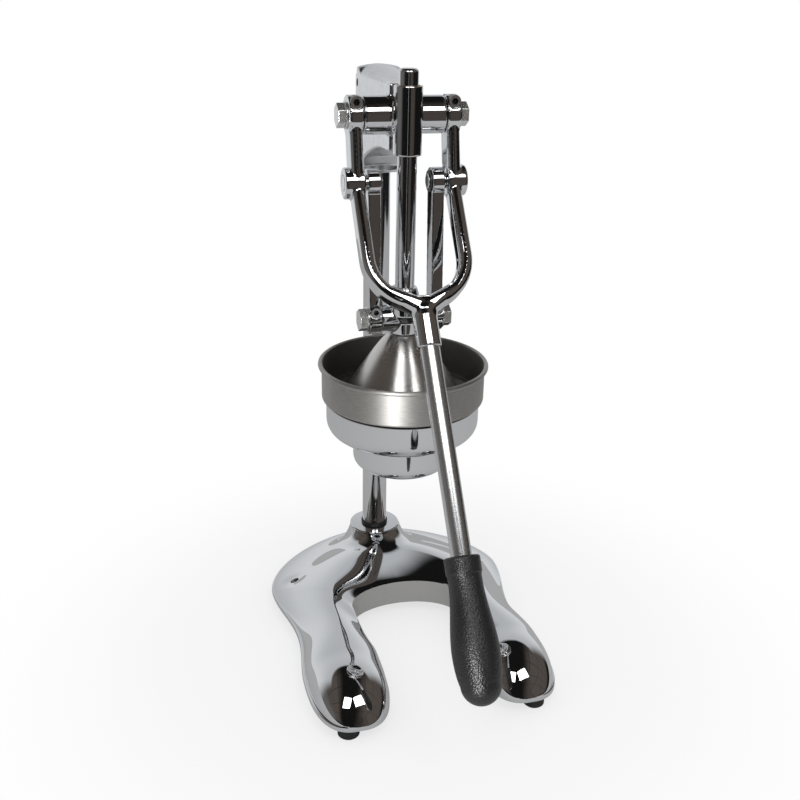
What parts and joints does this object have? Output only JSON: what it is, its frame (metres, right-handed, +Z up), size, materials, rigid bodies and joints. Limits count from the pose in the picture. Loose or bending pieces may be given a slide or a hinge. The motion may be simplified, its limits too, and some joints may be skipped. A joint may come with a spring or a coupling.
{
  "type": "citrus press",
  "caption": "Bench citrus press: a horseshoe base and column carry a lever whose links drive a bell down into a strainer cup over a glass.",
  "frame": {"origin": "middle of the bounding box in plan, on the counter under the rubber feet", "axes": "+Z up, -Y towards the user and the lever's grip, X across the press"},
  "size_m": [0.228, 0.3849, 0.5005],
  "materials": {
    "chrome_casting": "mirror chrome plate",
    "chrome_bar": "chromed ground bar",
    "plain_steel": "ground steel",
    "satin_steel": "satin stainless sheet with round brushing",
    "polished_steel": "polished spun stainless sheet",
    "bronze": "sintered bronze",
    "zinc_steel": "bright zinc plate",
    "black_screw": "dark oxide steel",
    "black_rubber": "matte moulded rubber",
    "black_grip": "black moulded plastic with a pebbled grain"
  },
  "bodies": {
    "frame": {"base_casting": "chrome_casting", "rubber_feet": "black_rubber", "foot_screws": "zinc_steel", "column": "chrome_bar", "column_collar": "chrome_bar", "column_washer": "zinc_steel", "column_bolt": "zinc_steel", "head_casting": "chrome_casting", "head_screw": "black_screw", "guide_bushes": "bronze", "shaft_bushes": "bronze", "cup_holder": "chrome_casting", "holder_screw": "black_screw", "strainer_cup": "satin_steel", "strainer_cone": "satin_steel"},
    "lever": {"cross_shaft": "plain_steel", "fork": "chrome_casting", "clamp_screws": "black_screw", "shaft_bolts": "zinc_steel", "shaft_washers": "zinc_steel", "pivot_pins": "chrome_bar", "pin_clips": "black_screw", "handle_tube": "chrome_bar", "handle_pin": "zinc_steel", "handle_grip": "black_grip"},
    "links": {"left_link": "chrome_casting", "right_link": "chrome_casting", "link_bolts": "zinc_steel", "link_washers": "zinc_steel", "link_screws": "black_screw"},
    "press": {"press_rod": "chrome_bar", "crosshead": "chrome_casting", "rod_screw": "black_screw", "press_bell": "polished_steel", "bell_screw": "zinc_steel"}
  },
  "joints": [
    {"name": "lever_swing", "type": "hinge", "parent": "frame", "child": "lever", "pos_m": [0, 0.06697, 0.464], "axis": [-1, 0, 0], "range_deg": [0, 115]},
    {"name": "link_swing", "type": "hinge", "parent": "lever", "child": "links", "pos_m": [0, 0.0566, 0.41304], "axis": [1, 0, 0], "range_deg": [0, 131.19]},
    {"name": "press_slide", "type": "slide", "parent": "frame", "child": "press", "axis": [0, 0, 1], "range_m": [0, 0.08442]}
  ],
  "couplings": [
    {"joint": "link_swing", "follows": "lever_swing", "ratio": 1.1403},
    {"joint": "press_slide", "follows": "lever_swing", "m_per_rad": 0.042011}
  ]
}
